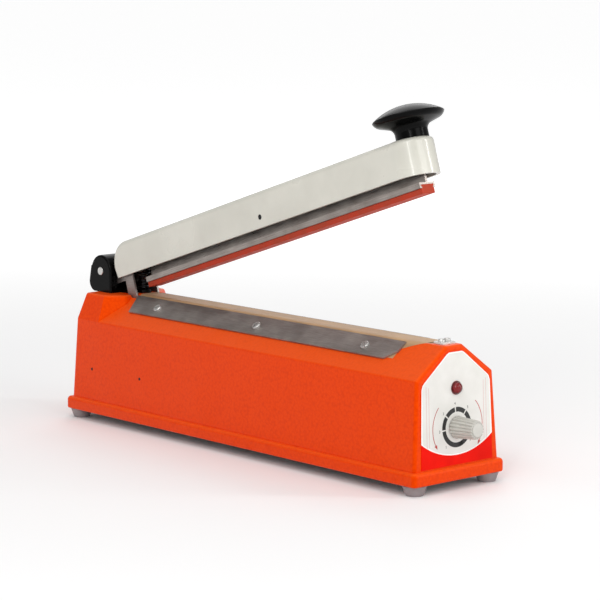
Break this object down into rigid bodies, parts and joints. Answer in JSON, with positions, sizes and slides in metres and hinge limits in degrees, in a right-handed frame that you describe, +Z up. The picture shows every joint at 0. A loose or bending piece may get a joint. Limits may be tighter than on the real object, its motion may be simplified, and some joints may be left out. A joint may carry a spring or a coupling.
{
  "type": "impulse heat sealer",
  "caption": "Table-top impulse heat sealer: cast housing with a wire seal bed under coated cloth, sprung hinged arm with a rocking silicone-faced pressure bar, push knob, timer dial and lamp.",
  "frame": {"origin": "on the table under the middle of the machine, at rest with the arm open", "axes": "+X from the hinge to the timer panel, +Y to the operator's right as they face the panel, +Z up"},
  "size_m": [0.417, 0.0876, 0.2638],
  "materials": {
    "orange_enamel": "hammered enamel, semi-gloss",
    "grey_enamel": "smooth enamel, semi-gloss",
    "steel_sheet": "mill finish",
    "bright_steel": "bright zinc",
    "black_plastic": "moulded, glossy",
    "aluminium_channel": "extruded, mill finish",
    "silicone_rubber": "matt",
    "ptfe_cloth": "coated glass cloth, slight sheen",
    "glass_cloth": "woven",
    "nichrome": "rolled",
    "brass": "turned",
    "panel_print": "printed film",
    "grey_plastic": "moulded",
    "red_lens": "clear red lens",
    "lamp_plastic": "moulded",
    "zinc_plate": "zinc plated",
    "foot_rubber": "matt",
    "black_rubber": "matt",
    "spring_steel": "black oxide",
    "iron_core": "varnished laminations",
    "coil_tape": "polyester tape",
    "circuit_board": "glass epoxy"
  },
  "bodies": {
    "base": {"board_standoffs": "grey_plastic", "bottom_plate": "zinc_plate", "capacitor": "black_plastic", "casing": "orange_enamel", "clamp_screws": "bright_steel", "control_panel": "panel_print", "cord_grommet": "black_rubber", "foot_screws": "bright_steel", "front_left_foot": "foot_rubber", "front_right_foot": "foot_rubber", "front_terminal": "bright_steel", "heating_element": "nichrome", "hinge_bracket": "black_plastic", "hinge_pin": "bright_steel", "hinge_screws": "black_plastic", "insulation_strip": "glass_cloth", "lamp_body": "lamp_plastic", "lamp_lens": "red_lens", "lamp_nut": "bright_steel", "left_clamp_strip": "steel_sheet", "microswitch": "black_plastic", "pin_clip": "bright_steel", "potentiometer": "grey_plastic", "potentiometer_nut": "bright_steel", "ptfe_cloth": "ptfe_cloth", "rear_left_foot": "foot_rubber", "rear_right_foot": "foot_rubber", "rear_terminal": "brass", "relay": "black_plastic", "return_spring": "spring_steel", "right_clamp_strip": "steel_sheet", "side_rivets": "bright_steel", "spring_seat": "black_plastic", "switch_bracket": "steel_sheet", "switch_pivot": "bright_steel", "switch_screws": "bright_steel", "terminal_block": "grey_plastic", "terminal_screws": "bright_steel", "timer_board": "circuit_board", "transformer_bracket": "steel_sheet", "transformer_coil": "coil_tape", "transformer_core": "iron_core", "transformer_screws": "bright_steel"},
    "arm": {"arm_casting": "grey_enamel", "arm_bracket": "steel_sheet", "arm_bracket_screws": "bright_steel", "striker_pin": "bright_steel", "rocker_pin": "bright_steel", "rocker_spacers": "bright_steel", "handle_knob": "black_plastic", "handle_stud": "bright_steel", "handle_nut": "bright_steel"},
    "pressure_bar": {"pressure_bar": "aluminium_channel", "silicone_strip": "silicone_rubber"},
    "timer_dial": {"timer_knob": "grey_plastic", "timer_knob_cap": "grey_plastic", "timer_shaft": "bright_steel"},
    "switch_lever": {"switch_lever": "bright_steel"}
  },
  "joints": [
    {"name": "arm_hinge", "type": "hinge", "parent": "base", "child": "arm", "pos_m": [-0.1935, 0, 0.1155], "axis": [0, 1, 0], "range_deg": [0, 15.2], "stiffness_Nm_per_rad": 4, "springref_deg": -20.05, "deforming": ["return_spring"]},
    {"name": "bar_rock", "type": "hinge", "parent": "arm", "child": "pressure_bar", "pos_m": [-0.00047, 0, 0.17421], "axis": [0, 1, 0], "range_deg": [0, 2.25]},
    {"name": "timer_turn", "type": "hinge", "parent": "base", "child": "timer_dial", "pos_m": [0.1873, 0, 0.0435], "axis": [0.9994, 0, 0.0335], "range_deg": [-270, 0]},
    {"name": "switch_press", "type": "hinge", "parent": "base", "child": "switch_lever", "pos_m": [-0.1739, 0, 0.053], "axis": [0, 1, 0], "range_deg": [-21.3, 0]}
  ],
  "couplings": [
    {"joint": "bar_rock", "follows": "arm_hinge", "ratio": 0.14474},
    {"joint": "switch_press", "follows": "arm_hinge", "ratio": -1.3947}
  ]
}
